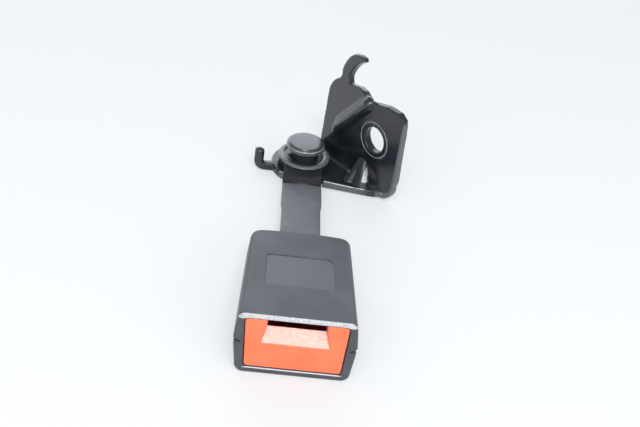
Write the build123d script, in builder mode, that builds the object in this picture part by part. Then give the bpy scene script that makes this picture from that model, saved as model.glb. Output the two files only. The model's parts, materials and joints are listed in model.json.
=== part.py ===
from build123d import *
import math
import os

# Seat belt buckle on a swivelling stay. Millimetres, +Z up, resting on Z = 0.
# The pivot axis is the Z axis, and the mouth of the buckle faces -Y.
# "s" is the distance behind the mouth and "h" the height over the frame plate,
# both measured along the buckle, which climbs towards its mouth.

# ---------------------------------------------------------------- line of pull
pull_angle = 6.8            # climb of the buckle towards its mouth, degrees
plate_height = 4.6          # frame plate's top face over the floor, at the pivot
mouth_reach = 144.5         # pivot axis to the mouth, along the line of pull

# ---------------------------------------------------------------- cover shells
cover_length = 68.0
cover_top_front = 5.6       # h of the top face at the mouth
cover_top_rear = 4.0
cover_half_front = 24.0     # half width on the parting line
cover_narrowing = 1.7
cover_half_rear = cover_half_front - cover_narrowing
parting_h = -6.0
side_draft = 6.5            # degrees, each way from the parting line
top_round = 3.2
bottom_round = 3.6
rear_round = 7.0            # rear corners, seen from above
rear_bow = 1.6              # how far the rear end swells
wall = 1.8
rim_depth = 3.0             # thicker rim round the mouth
rim_bevel = 0.8             # outer front edge
lip_bevel = 0.5             # edge of the mouth
rear_edge_round = 1.6       # rear end of the top face
mouth_top = 3.6
mouth_bottom = -18.8
mouth_side_top = 3.7
mouth_side_bottom = 4.8
mouth_half_top = cover_half_front - mouth_side_top
mouth_half_bottom = cover_half_front - mouth_side_bottom
mouth_round = 1.6
label_width = 28.0
label_length = 23.8
label_start = 23.0          # s of its front edge
label_depth = 0.35
label_round = 1.8
label_wide_round = 4.0
notch_width = 2.4
notch_depth = 3.2
guide_rib_width = 1.2
guide_rib_start = 5.2
guide_rib_inner = 3.2
guide_rib_outer = 9.2
guide_rib_places = (-guide_rib_outer, -guide_rib_inner, guide_rib_inner, guide_rib_outer)

# --------------------------------------------------------------- release button
button_gap = 0.3
button_recess = 0.4         # face set back from the mouth
button_travel = 5.5
button_skin = 2.0
face_depth = 4.6            # how far the face block reaches back
cheek_front = 5.7           # width beside the ramp
cheek_rear = 8.0
ramp_half_front = mouth_half_bottom - cheek_front
ramp_half_rear = mouth_half_bottom - cheek_rear
ramp_foot = -7.7            # h where the ramp leaves the face
ramp_crest = -1.5
ear_catch = 1.5             # how far the retaining ears overlap the rim
ear_reach = mouth_half_bottom + ear_catch
ear_low = -10.0
ear_high = -2.0
tray_top = -13.9
tray_thick = 1.1
leg_top = -6.0

# ------------------------------------------------------------------ belt tongue
tongue_thick = 2.5
tongue_grip = 8.0           # cross bar between the tongue's window and its end

# ------------------------------------------------------------------ steel frame
frame_start = 11.0
frame_setback = 3.0         # from the cover's rear end
frame_end = cover_length - frame_setback
frame_gauge = 2.5
frame_side = 8.0
frame_half = cover_half_front - frame_side
wall_start = 14.0
tail_length = 11.0
wall_end = frame_end - tail_length
wall_foot = -12.5
tail_inset = 5.0
tail_taper = 4.0
tail_half = frame_half - tail_inset     # half width behind the side walls
plate_corner = 2.0
window_start = 17.3
window_end = 25.2
window_half = 7.2
keel_slot_start = 26.6
keel_slot_half = 3.0
carrier_inset = 2.0
carrier_start = wall_end - carrier_inset
carrier_thick = 2.6

# --------------------------------------------------------------- release slide
slide_gauge = 1.4
slide_gap = 1.0
slide_inner = frame_half + slide_gap
slide_start = 18.0
slide_end = 31.0
slide_top = -6.0
leg_inset = 0.1
leg_thick = 2.3
leg_inner = slide_inner - leg_inset     # legs of the button, in front of the slide
leg_outer = leg_inner + leg_thick
tray_inset = 3.6
tray_half = frame_half - tray_inset

# ------------------------------------------------------------------ latch pawl
pin_ahead = 4.0
latch_pin_s = carrier_start - pin_ahead
latch_pin_h = -9.5
latch_pin_radius = 2.0
latch_angle = 6.0
latch_gap = 2.0
latch_half = frame_half - frame_gauge - latch_gap
latch_arm = 3.0
latch_slope = 5.0           # from the nose's back to where the arms slope down
latch_fall = 1.6
hub_radius = 3.6
nose_start = 19.0
nose_end = 24.0
nose_half = 6.3
nose_height = 2.2
cross_pin_s = 27.0
cross_pin_h = -8.5
cross_pin_radius = 1.5
pin_clearance = 0.2
hinge_clearance = 0.05

# --------------------------------------------------------------------- ejector
ejector_start = 24.7
ejector_end = 33.0
ejector_half = 8.5
ejector_travel = tongue_grip
keel_half = 2.6
keel_foot_half = 4.4
keel_foot = -6.8
running_gap = 0.3
axial_gap = 0.15

# --------------------------------------------------------------------- springs
button_spring_radius = 1.6
button_spring_wire = 0.7
lug_ahead = 2.0
button_spring_end = carrier_start - lug_ahead
ejector_spring_radius = 2.0
ejector_spring_wire = 0.6
ejector_spring_h = -5.0
latch_spring_radius = 2.4
latch_spring_wire = 0.7
latch_spring_ahead = 6.0
latch_spring_s = latch_pin_s - latch_spring_ahead
spigot_length = 3.5

# ------------------------------------------------------------------ stay and pivot
stay_gauge = 3.0
stay_lap = 10.3             # how far the stay runs under the frame plate
stay_half = 9.0
stay_half_wide = 9.45       # from the shoulder to the eye
shoulder_y = -40.0
eye_radius = 12.2
joggle_inner = 16.4         # the step down starts at this radius
joggle_slope = 55.0
rivet_pitch = 10.0
rivet_radius = 2.4
rivet_head_radius = 4.0
rivet_head = 1.2

bracket_gauge = 3.6
tail_thick = 0.6            # upset end of the pivot rivet
tail_radius = 8.4
shank_radius = 5.0
bush_radius = 6.3
bush_length = 8.7
head_radius = 9.4
head_thick = 3.4
washer_radius = 12.9
washer_bore = 7.2
washer_rise = 1.6

# -------------------------------------------------------------- anchor bracket
eye_outer = 15.8
flange_offset = 15.83       # pivot axis to the flange's front face
flange_bearing = -139.1     # direction that the flange faces, degrees
hole_along = 30.1           # hole centre, from the foot of that offset
hole_height = 29.25
hole_radius = 6.4
boss_radius = 9.2
boss_rise = 0.5
fold_radius = 3.0
wing_bend = 12.0            # the wing leans back along the bead
bead_low = (-25.7, -7.5)    # bend line, from the hole centre, on the flange
bead_high = (-4.5, 19.5)
bead_stop = 15.2            # height over the hole where the bead ends
bead_radius = 3.4
bead_sink = 0.7
dart_place = -6.2
dart_reach = 8.5
dart_climb = 11.0
dart_crest = 0.9            # half width of its crest
dart_half = 6.4
dart_foot = 0.12            # share of its outline left at the flanks' ends
front_edge_y = -15.6        # base's front edge beside the stay
front_edge_u = 9.6          # where that edge meets the flange, from the hole
back_edge_u = -5.5          # base's rear corner, from the foot of the offset
tip_cut = 1.0               # sharp corner taken off behind the fold
stay_gap = 0.45             # between the stay and the base's flank
finger_reach = 24.3         # upturned finger that stops the stay's swing
finger_low_y = -5.8
finger_high_y = -1.9
finger_height = 11.4
finger_round = 1.5
toe_reach = 2.6             # flange's lower front corner, beyond the base's edge
toe_rise = 1.2

# outlines of the bracket's sheet, along and up from the hole centre
flange_corner = ((16.0, -19.4), (17.2, -13.0))
flange_side = ((16.1, 14.5), (15.2, 18.2), (11.5, 20.3), (4.0, 20.0), (-2.0, 18.2))
wing_edge = ((-36.7, -21.5), (-40.3, 6.0))
hook_back = (
    (-39.1, 11.1), (-35.0, 15.3), (-33.7, 17.1), (-33.5, 20.2),
    (-31.4, 27.5), (-26.6, 31.9), (-23.6, 33.0), (-20.6, 32.6),
)
hook_mouth = ((-19.8, 31.2), (-25.0, 26.3), (-27.7, 20.6))
wing_top = ((-26.8, 17.6), (-25.0, 17.0), (-18.2, 19.2), (-14.0, 19.1), (-9.8, 17.6))

# ------------------------------------------------------------------- reference
pull = math.radians(pull_angle)
axis = Plane(
    origin=(0, 0, plate_height),
    x_dir=(1, 0, 0),
    z_dir=(0, math.sin(pull), math.cos(pull)),
)


def back(s):
    """Distance behind the mouth as a coordinate from the pivot."""
    return s - mouth_reach


def level(h):
    """Plane parallel to the frame plate; its Y runs from mouth to pivot."""
    return axis.offset(h)


def station(s):
    """Plane across the buckle, facing its mouth: X across, Y up."""
    centre = axis.from_local_coords((0, back(s), 0))
    return Plane(origin=centre, x_dir=(1, 0, 0), z_dir=-axis.y_dir)


def flank(x):
    """Plane along the buckle at x: X runs back from the pivot line, Y up."""
    centre = axis.from_local_coords((x, 0, 0))
    return Plane(origin=centre, x_dir=axis.y_dir, z_dir=(1, 0, 0))


def floor_h(s):
    """Height of the floor under a station."""
    return back(s) * math.tan(pull) - plate_height / math.cos(pull)


def cover_top(s):
    return cover_top_front + (cover_top_rear - cover_top_front) * s / cover_length


def cover_half(s):
    return cover_half_front + (cover_half_rear - cover_half_front) * s / cover_length


def finish(part, name):
    part.label = name
    export_step(part, f"parts/{name}.step")
    print(f"{name}: {len(part.solids())} solid(s), {part.volume:.0f} mm3")


# ---------------------------------------------------------------- cover shells
def cover_section(s, inset):
    """Six-sided outline of the cover, widest on the parting line."""
    top = cover_top(s) - inset
    bottom = floor_h(s) + inset
    middle = cover_half(s) - inset
    lean = math.tan(math.radians(side_draft))
    high = middle - (top - parting_h) * lean
    low = middle - (parting_h - bottom) * lean
    with BuildSketch(station(s)) as outline:
        with BuildLine():
            Polyline(
                (-low, bottom), (low, bottom), (middle, parting_h),
                (high, top), (-high, top), (-middle, parting_h), close=True,
            )
        make_face()
        fillet(outline.vertices().group_by(Axis.Y)[-1], max(top_round - inset, 0.6))
        fillet(outline.vertices().group_by(Axis.Y)[0], max(bottom_round - inset, 0.6))
    return outline.sketch


def cover_plan(inset):
    """Seen from above: tapered sides, round rear corners, bowed rear end."""
    front = cover_half_front - inset
    rear = cover_half_rear - inset
    end = back(cover_length - rear_bow) - inset
    with BuildSketch(level(cover_top_front)) as outline:
        with BuildLine():
            Line((-rear, end), (-front, back(-2)))
            Line((-front, back(-2)), (front, back(-2)))
            Line((front, back(-2)), (rear, end))
            ThreePointArc((rear, end), (0, end + rear_bow), (-rear, end))
        make_face()
        fillet(outline.vertices().group_by(Axis.Y)[-1], rear_round - inset)
    return outline.sketch


def cover_block(inset, start, end, bevel=0):
    """Solid between two stations, its front edge bevelled."""
    with BuildPart() as block:
        add(cover_section(start + bevel, inset))
        add(cover_section(end, inset))
        loft(ruled=True)
        if bevel:
            add(cover_section(start, inset + bevel))
            add(cover_section(start + bevel, inset))
            loft(ruled=True)
        extrude(cover_plan(inset), amount=-60, mode=Mode.INTERSECT)
    return block.part


def mouth_outline(s, gap):
    """The mouth's opening, narrowed all round by a gap."""
    with BuildSketch(station(s)) as outline:
        with BuildLine():
            Polyline(
                (-mouth_half_bottom + gap, mouth_bottom + gap),
                (mouth_half_bottom - gap, mouth_bottom + gap),
                (mouth_half_top - gap, mouth_top - gap),
                (-mouth_half_top + gap, mouth_top - gap), close=True,
            )
        make_face()
        fillet(outline.vertices(), max(mouth_round - gap, 0.4))
    return outline.sketch


def pad(x_range, s_range, h, corner=0, sides=(1,)):
    """Rectangle on a level, between two x values and two stations."""
    with BuildSketch(level(h)) as outline:
        for side in sides:
            with Locations((side * sum(x_range) / 2, back(sum(s_range) / 2))):
                Rectangle(x_range[1] - x_range[0], s_range[1] - s_range[0])
        if corner:
            fillet(outline.vertices(), corner)
    return outline.sketch


def pad_pair(x_range, s_range, h):
    """The same rectangle on both sides of the centre line."""
    return pad(x_range, s_range, h, sides=(-1, 1))


os.makedirs("parts", exist_ok=True)

def at_rear_top(edge):
    """Whether an edge runs round the rear end of the top face."""
    middle = axis.to_local_coords(edge @ 0.5)
    behind = middle.Y > back(cover_length - rear_round)
    return behind and middle.Z > cover_top_rear - top_round / 2


outer = cover_block(0, 0, cover_length, rim_bevel)
outer = outer.fillet(rear_edge_round, outer.edges().filter_by(at_rear_top))
cavity = cover_block(wall, rim_depth, cover_length)

with BuildPart() as mouth_bevel:
    add(mouth_outline(0, -lip_bevel))
    add(mouth_outline(lip_bevel, 0))
    loft(ruled=True)


def cover_shell(keep):
    """One of the two shells that close on the parting plane."""
    with BuildPart() as shell:
        add(outer)
        add(cavity, mode=Mode.SUBTRACT)
        extrude(mouth_outline(0, 0), amount=-(rim_depth + 0.5), mode=Mode.SUBTRACT)
        add(mouth_bevel.part, mode=Mode.SUBTRACT)
        split(bisect_by=level(parting_h), keep=keep)
    return shell.part


top_lean = math.degrees(math.atan2(cover_top_front - cover_top_rear, cover_length))
label_plane = Plane(
    origin=axis.from_local_coords((0, back(label_start), cover_top(label_start))),
    x_dir=(1, 0, 0),
    z_dir=axis.z_dir.rotate(Axis.X, -top_lean),
)

with BuildPart() as upper_cover:
    add(cover_shell(Keep.TOP))
    # label recess, left bare; its rear right corner is rounder
    with BuildSketch(label_plane) as label:
        with Locations((0, label_length / 2)):
            Rectangle(label_width, label_length)
        fillet(label.vertices().sort_by(lambda v: v.X + v.Y)[-1], label_wide_round)
        fillet(label.vertices().sort_by(lambda v: v.X + v.Y)[0], label_round)
        fillet(label.vertices().sort_by(lambda v: v.X - v.Y)[0], label_round)
        fillet(label.vertices().sort_by(lambda v: v.X - v.Y)[-1], label_round)
    extrude(amount=-label_depth, mode=Mode.SUBTRACT)
    # guide ribs that keep the tongue from rattling
    rib_foot = tongue_thick + running_gap
    for place in guide_rib_places:
        with BuildSketch(flank(place)):
            with BuildLine():
                Polyline(
                    (back(guide_rib_start), rib_foot),
                    (back(frame_start), rib_foot),
                    (back(frame_start + 4), cover_top(frame_start) - wall + 0.2),
                    (back(guide_rib_start), cover_top(guide_rib_start) - wall + 0.2), close=True,
                )
            make_face()
        extrude(amount=guide_rib_width / 2, both=True)
    # way out for the stay
    with BuildSketch(station(cover_length + 1)):
        with Locations((0, parting_h)):
            Rectangle(
                2 * (stay_half + running_gap), running_gap - frame_gauge - parting_h,
                align=(Align.CENTER, Align.MIN),
            )
    extrude(amount=wall + 3, mode=Mode.SUBTRACT)
finish(upper_cover.part, "upper_cover")

with BuildPart() as lower_cover:
    add(cover_shell(Keep.BOTTOM))
    # notches at the parting line, for prising the shells apart
    for side in (-1, 1):
        with BuildSketch(station(-1)):
            with BuildLine():
                Polyline(
                    (side * (cover_half_front + 1), parting_h + 1),
                    (side * (cover_half_front - notch_depth), parting_h - notch_width / 2),
                    (side * (cover_half_front + 1), parting_h - notch_width), close=True,
                )
            make_face()
        extrude(amount=-(rim_depth + 1), mode=Mode.SUBTRACT)
    # ribs under the frame's side walls
    for s in (wall_start + 2, wall_end - 2):
        with BuildSketch(station(s)):
            for side in (-1, 1):
                with Locations((side * (frame_half - frame_gauge / 2), wall_foot)):
                    Rectangle(
                        frame_gauge + 0.8, wall_foot - floor_h(s) - wall / 2,
                        align=(Align.CENTER, Align.MAX),
                    )
        extrude(amount=0.8, both=True)
    # lugs behind the button springs
    with BuildSketch(station(button_spring_end)):
        for side in (-1, 1):
            low = floor_h(button_spring_end) + wall / 2
            with Locations((side * (slide_inner + slide_gauge / 2), low)):
                Rectangle(
                    2 * button_spring_radius + 0.2, parting_h - 0.3 - low,
                    align=(Align.CENTER, Align.MIN),
                )
    extrude(amount=-1.8)
    # boss under the latch spring
    boss_foot = floor_h(latch_spring_s) + wall / 2
    with BuildSketch(level(boss_foot)):
        with Locations((0, back(latch_spring_s))):
            Circle(latch_spring_radius + 0.8)
    extrude(amount=wall / 2 + 0.6)
finish(lower_cover.part, "lower_cover")

# --------------------------------------------------------------- release button
face_end = button_recess + face_depth


def ramp_section(s, foot, half_foot, half_top):
    """The opening over the ramp, from its floor to above the button."""
    with BuildSketch(station(s)) as outline:
        with BuildLine():
            Polyline(
                (-half_foot, foot), (half_foot, foot),
                (half_top, mouth_top + 1), (-half_top, mouth_top + 1), close=True,
            )
        make_face()
    return outline.sketch


with BuildPart() as ramp_opening:
    add(ramp_section(button_recess, ramp_foot, ramp_half_front, ramp_half_rear))
    add(ramp_section(face_end + 0.1, ramp_crest, ramp_half_rear, ramp_half_rear - 0.4))
    loft(ruled=True)

with BuildPart() as release_button:
    # face block, a little smaller than the mouth and hollow from behind
    extrude(mouth_outline(button_recess, button_gap), amount=-face_depth)
    extrude(
        mouth_outline(face_end, button_gap + button_skin),
        amount=face_depth - button_skin, mode=Mode.SUBTRACT,
    )
    # solid middle that carries the ramp
    with BuildSketch(station(button_recess)):
        with Locations((0, ramp_foot - button_skin)):
            Rectangle(
                2 * (ramp_half_front + button_skin),
                mouth_top - button_gap - ramp_foot + button_skin,
                align=(Align.CENTER, Align.MIN),
            )
    extrude(amount=-face_depth)
    add(ramp_opening.part, mode=Mode.SUBTRACT)
    # legs and tray that reach back to the release slide
    leg_start = button_recess + 1
    extrude(
        pad_pair((leg_inner, leg_outer), (leg_start, slide_start), tray_top),
        amount=leg_top - tray_top,
    )
    extrude(pad((-tray_half, tray_half), (leg_start, slide_end), tray_top), amount=-tray_thick)
    # stop behind the slide
    extrude(
        pad((-nose_half, nose_half), (slide_end, slide_end + slide_gauge), tray_top - tray_thick),
        amount=tray_thick + slide_gauge,
    )
    # ears that catch behind the rim
    ear_start = rim_depth + button_gap
    extrude(
        pad_pair((mouth_half_bottom - 1.5, ear_reach), (ear_start, face_end), ear_low),
        amount=ear_high - ear_low,
    )
finish(release_button.part, "release_button")

# --------------------------------------------------------------- release slide
latch_drop = math.radians(latch_angle)
pin_reach = latch_pin_s - cross_pin_s
pin_rise = cross_pin_h - latch_pin_h
pressed_s = latch_pin_s - pin_reach * math.cos(latch_drop) - pin_rise * math.sin(latch_drop)
pressed_h = latch_pin_h - pin_reach * math.sin(latch_drop) + pin_rise * math.cos(latch_drop)
cam_start = Vector(back(cross_pin_s), cross_pin_h)
cam_end = Vector(back(pressed_s) - button_travel, pressed_h)

with BuildPart() as release_slide:
    extrude(
        pad_pair((slide_inner, slide_inner + slide_gauge), (slide_start, slide_end), tray_top),
        amount=slide_top - tray_top,
    )
    slide_half = slide_inner + slide_gauge
    extrude(
        pad((-slide_half, slide_half), (slide_start + 2, slide_end), tray_top),
        amount=slide_gauge - 0.2,
    )
    # tabs inside the button springs
    spring_h = (slide_top + tray_top) / 2
    extrude(
        pad_pair((slide_inner, slide_half), (slide_end - 1, slide_end + 2), spring_h - 0.5),
        amount=1,
    )
    # sloping slots that pull the cross pin down as the button goes in
    with BuildSketch(flank(0)):
        cam = cam_start - cam_end
        with Locations((cam_start + cam_end) / 2):
            SlotCenterToCenter(
                cam.length, 2 * (cross_pin_radius + pin_clearance),
                rotation=math.degrees(math.atan2(cam.Y, cam.X)),
            )
    extrude(amount=cover_half_front, both=True, mode=Mode.SUBTRACT)
finish(release_slide.part, "release_slide")

# ------------------------------------------------------------------ steel frame
with BuildPart() as buckle_frame:
    # plate, narrowed behind the side walls
    with BuildSketch(level(0)):
        with BuildLine():
            Polyline(
                (frame_half - plate_corner, back(frame_start)),
                (frame_half, back(frame_start + plate_corner)),
                (frame_half, back(wall_end)), (tail_half, back(wall_end + tail_taper)),
                (tail_half, back(frame_end)), (0, back(frame_end)), (0, back(frame_start)),
                close=True,
            )
        make_face()
        mirror(about=Plane.YZ)
    extrude(amount=-frame_gauge)
    # side walls folded down
    extrude(
        pad_pair((frame_half - frame_gauge, frame_half), (wall_start, wall_end), 0),
        amount=wall_foot,
    )
    folds = buckle_frame.edges().filter_by(lambda e: abs((e % 0.5).dot(axis.y_dir)) > 0.999)
    folds = folds.filter_by(lambda e: abs(axis.to_local_coords(e @ 0.5).Z) < 0.01)
    fillet(folds.sort_by(lambda e: abs((e @ 0.5).X))[-2:], frame_gauge * 0.7)
    # window for the latch, slot for the ejector's keel
    extrude(
        pad((-window_half, window_half), (window_start, window_end), 0),
        amount=-frame_gauge, mode=Mode.SUBTRACT,
    )
    slot_end = ejector_end + ejector_travel + running_gap
    extrude(
        pad((-keel_slot_half, keel_slot_half), (keel_slot_start, slot_end), 0),
        amount=-frame_gauge, mode=Mode.SUBTRACT,
    )
    # rivet holes
    with BuildSketch(level(0)):
        with Locations((0, back(frame_end - stay_lap / 2))):
            with GridLocations(rivet_pitch, 1, 2, 1):
                Circle(rivet_radius)
    extrude(amount=-frame_gauge, mode=Mode.SUBTRACT)
    # notches that let the cross pin drop, and the latch pin's holes
    with BuildSketch(flank(0)):
        notch_half = cross_pin_radius + running_gap
        with Locations((back(cross_pin_s), cross_pin_h)):
            Circle(notch_half)
            Rectangle(2 * notch_half, cross_pin_h - wall_foot, align=(Align.CENTER, Align.MAX))
        with Locations((back(latch_pin_s), latch_pin_h)):
            Circle(latch_pin_radius)
    extrude(amount=frame_half, both=True, mode=Mode.SUBTRACT)
finish(buckle_frame.part, "buckle_frame")

# ------------------------------------------------------------------ latch pawl
hinge_point = (back(latch_pin_s), latch_pin_h)
arm_top = -frame_gauge - 1.9
arm_foot = latch_pin_h + 0.2

with BuildPart() as latch_pawl:
    # two arms from the hinge to the nose
    with BuildSketch(flank(latch_half - latch_arm)):
        with BuildLine():
            Polyline(
                (back(nose_start - 1), arm_foot), (back(nose_start - 1), arm_top),
                (back(nose_end + latch_slope), arm_top), (back(latch_pin_s), arm_top - latch_fall),
                (back(latch_pin_s), arm_foot), close=True,
            )
        make_face()
    extrude(amount=latch_arm)
    with BuildSketch(flank(latch_half - latch_arm)):
        with Locations(hinge_point):
            Circle(hub_radius)
    extrude(amount=frame_half - frame_gauge - running_gap - (latch_half - latch_arm))
    mirror(about=Plane.YZ)
    # bridge under the nose, and the nose itself with its lead-in
    with BuildSketch(flank(0)):
        with BuildLine():
            Polyline(
                (back(nose_start - 1), arm_foot), (back(nose_end + 0.6), arm_foot),
                (back(nose_end + 0.6), arm_top), (back(nose_start - 1), arm_top), close=True,
            )
        make_face()
    extrude(amount=latch_half, both=True)
    with BuildSketch(flank(0)):
        with BuildLine():
            Polyline(
                (back(nose_start), arm_top), (back(nose_start), -0.6),
                (back(nose_start + 3), nose_height), (back(nose_end), nose_height),
                (back(nose_end), arm_top), close=True,
            )
        make_face()
    extrude(amount=nose_half, both=True)
    # web over the latch spring
    extrude(
        pad((-latch_half, latch_half), (latch_spring_s - 2.5, latch_spring_s + 2.5), arm_foot),
        amount=1.6,
    )
    # hinge and cross pin holes
    with BuildSketch(flank(0)):
        with Locations(hinge_point):
            Circle(latch_pin_radius + hinge_clearance)
        with Locations((back(cross_pin_s), cross_pin_h)):
            Circle(cross_pin_radius)
    extrude(amount=frame_half, both=True, mode=Mode.SUBTRACT)
finish(latch_pawl.part, "latch_pawl")

with BuildPart() as latch_pin:
    with BuildSketch(flank(0)):
        with Locations(hinge_point):
            Circle(latch_pin_radius)
    extrude(amount=frame_half - 0.1, both=True)
    chamfer(latch_pin.edges().filter_by(GeomType.CIRCLE), 0.3)
finish(latch_pin.part, "latch_pin")

with BuildPart() as cross_pin:
    with BuildSketch(flank(0)):
        with Locations((back(cross_pin_s), cross_pin_h)):
            Circle(cross_pin_radius)
    extrude(amount=slide_half + 0.4, both=True)
    chamfer(cross_pin.edges().filter_by(GeomType.CIRCLE), 0.3)
finish(cross_pin.part, "cross_pin")

# --------------------------------------------------------------------- ejector
with BuildPart() as ejector:
    # head over the plate, pushed back by the tongue's end
    extrude(
        pad((-ejector_half, ejector_half), (ejector_start, ejector_end), axial_gap, 1.2),
        amount=nose_height,
    )
    # keel through the slot and the foot that holds it under the plate
    keel_start = keel_slot_start + running_gap
    extrude(
        pad((-keel_half, keel_half), (keel_start, ejector_end), nose_height),
        amount=keel_foot - nose_height,
    )
    extrude(
        pad((-keel_foot_half, keel_foot_half), (keel_start, ejector_end), keel_foot),
        amount=-frame_gauge - axial_gap - keel_foot,
    )
finish(ejector.part, "ejector")

# --------------------------------------------------------------------- springs
def spring(start, direction, length, radius, wire, turns):
    """Close-ended compression spring from a point along a direction."""
    with BuildPart() as coil:
        with BuildLine() as path:
            Helix(
                pitch=(length - wire) / turns, height=length - wire, radius=radius - wire / 2,
                center=start + direction * (wire / 2), direction=direction,
            )
        with BuildSketch(Plane(origin=path.line @ 0, z_dir=path.line % 0)):
            RegularPolygon(wire / 2, 6)
        sweep(is_frenet=True)
    return coil.part


spring_x = slide_inner + slide_gauge / 2
for side, name in ((-1, "button_spring_left"), (1, "button_spring_right")):
    start = axis.from_local_coords((side * spring_x, back(slide_end), spring_h))
    length = button_spring_end - slide_end
    coil = spring(start, axis.y_dir, length, button_spring_radius, button_spring_wire, 8)
    finish(coil, name)

start = axis.from_local_coords((0, back(ejector_end), ejector_spring_h))
length = carrier_start - ejector_end
coil = spring(start, axis.y_dir, length, ejector_spring_radius, ejector_spring_wire, 8)
finish(coil, "ejector_spring")

boss_top = floor_h(latch_spring_s) + wall + 0.6
start = axis.from_local_coords((0, back(latch_spring_s), boss_top))
length = arm_foot - boss_top
coil = spring(start, axis.z_dir, length, latch_spring_radius, latch_spring_wire, 3)
finish(coil, "latch_spring")

with BuildPart() as spring_carrier:
    carrier_half = frame_half - frame_gauge - running_gap
    extrude(
        pad((-carrier_half, carrier_half), (carrier_start, carrier_start + carrier_thick), -frame_gauge),
        amount=latch_pin_h + frame_gauge,
    )
    with BuildSketch(station(carrier_start + carrier_thick)):
        with Locations((0, ejector_spring_h)):
            Circle(ejector_spring_radius - ejector_spring_wire - 0.15)
    extrude(amount=carrier_thick + spigot_length)
finish(spring_carrier.part, "spring_carrier")

# ------------------------------------------------------------------ stay and pivot
base_top = tail_thick + bracket_gauge
eye_top = base_top + stay_gauge


def height_at(y, h):
    """Z of a level of the buckle above a point on the Y axis."""
    return plate_height - y * math.tan(pull) + h / math.cos(pull)


stay_front = frame_end - stay_lap
run_top = -frame_gauge
run_foot = run_top - stay_gauge
slope = math.tan(math.radians(joggle_slope))
top_corner = joggle_inner + stay_gauge * math.tan(math.radians(joggle_slope / 2))
low_foot = height_at(-joggle_inner, run_foot)
low_top = low_foot + stay_gauge
foot_end = joggle_inner + (base_top - low_foot) / slope
top_end = top_corner + (eye_top - low_top) / slope

with BuildPart() as stay_arm:
    # eye and the step down round it
    with BuildSketch(Plane.XZ):
        with BuildLine():
            Polyline(
                (shank_radius, base_top), (joggle_inner, base_top), (foot_end, low_foot),
                (top_end + 1, low_foot), (top_end + 1, low_top), (top_end, low_top),
                (top_corner, eye_top), (shank_radius, eye_top), close=True,
            )
        make_face()
    revolve(axis=Axis.Z)
    with BuildSketch(Plane.XY):
        Circle(eye_radius)
        Rectangle(2 * stay_half_wide, top_end + 1, align=(Align.CENTER, Align.MAX))
    extrude(amount=eye_top, mode=Mode.INTERSECT)
    # straight run up to the frame, with a small shoulder
    with BuildSketch(level(run_top)):
        with BuildLine():
            Polyline(
                (stay_half_wide, -top_end), (stay_half_wide, shoulder_y),
                (stay_half, shoulder_y - 1), (stay_half, back(stay_front + 2)),
                (stay_half - 2, back(stay_front)), (0, back(stay_front)), (0, -top_end),
                close=True,
            )
        make_face()
        mirror(about=Plane.YZ)
    extrude(amount=-stay_gauge)
    # bush bore and rivet holes
    with BuildSketch(Plane.XY.offset(base_top)):
        Circle(bush_radius)
    extrude(amount=stay_gauge, mode=Mode.SUBTRACT)
    with BuildSketch(level(run_top)):
        with Locations((0, back(frame_end - stay_lap / 2))):
            with GridLocations(rivet_pitch, 1, 2, 1):
                Circle(rivet_radius)
    extrude(amount=-stay_gauge, mode=Mode.SUBTRACT)
finish(stay_arm.part, "stay_arm")

with BuildPart() as frame_rivets:
    with BuildSketch(level(run_foot - rivet_head)):
        with Locations((0, back(frame_end - stay_lap / 2))):
            with GridLocations(rivet_pitch, 1, 2, 1):
                Circle(rivet_head_radius)
    extrude(amount=rivet_head)
    with BuildSketch(level(run_foot)):
        with Locations((0, back(frame_end - stay_lap / 2))):
            with GridLocations(rivet_pitch, 1, 2, 1):
                Circle(rivet_radius)
    extrude(amount=frame_gauge + stay_gauge)
    with BuildSketch(level(0)):
        with Locations((0, back(frame_end - stay_lap / 2))):
            with GridLocations(rivet_pitch, 1, 2, 1):
                Circle(rivet_head_radius)
    extrude(amount=rivet_head, taper=25)
finish(frame_rivets.part, "frame_rivets")

head_foot = base_top + bush_length

with BuildPart() as pivot_rivet:
    with BuildSketch(Plane.XZ):
        with BuildLine():
            Polyline(
                (0, 0), (tail_radius - 1.5, 0), (tail_radius, tail_thick), (shank_radius, tail_thick),
                (shank_radius, head_foot), (head_radius - 0.9, head_foot),
                (head_radius, head_foot + 0.8), (head_radius, head_foot + head_thick - 1.3),
                (head_radius - 0.5, head_foot + head_thick - 0.6),
                (head_radius - 1.1, head_foot + head_thick - 0.5),
                (head_radius - 1.5, head_foot + head_thick), (0, head_foot + head_thick),
                close=True,
            )
        make_face()
    revolve(axis=Axis.Z)
finish(pivot_rivet.part, "pivot_rivet")

with BuildPart() as pivot_bush:
    with BuildSketch(Plane.XY.offset(base_top)):
        Circle(bush_radius)
        Circle(shank_radius + hinge_clearance, mode=Mode.SUBTRACT)
    extrude(amount=bush_length)
finish(pivot_bush.part, "pivot_bush")

with BuildPart() as spring_washer:
    with BuildSketch(Plane.XZ):
        with BuildLine():
            Polyline(
                (washer_bore, eye_top), (washer_radius - 0.6, eye_top), (washer_radius, eye_top + 0.6),
                (washer_radius - 0.2, eye_top + washer_rise - 0.5),
                (washer_radius - 1.0, eye_top + washer_rise),
                (washer_radius - 2.2, eye_top + washer_rise),
                (washer_radius - 3.2, eye_top + 0.9), (washer_bore, eye_top + 0.9), close=True,
            )
        make_face()
    revolve(axis=Axis.Z)
    # keying tab on the inside
    with BuildSketch(Plane.XY.offset(eye_top)):
        with Locations((-washer_bore, 0)):
            Rectangle(2.0, 2.2)
    extrude(amount=washer_rise)
    with BuildSketch(Plane.XY.offset(eye_top)):
        Circle(bush_radius)
    extrude(amount=washer_rise, mode=Mode.SUBTRACT)
finish(spring_washer.part, "spring_washer")

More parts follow.
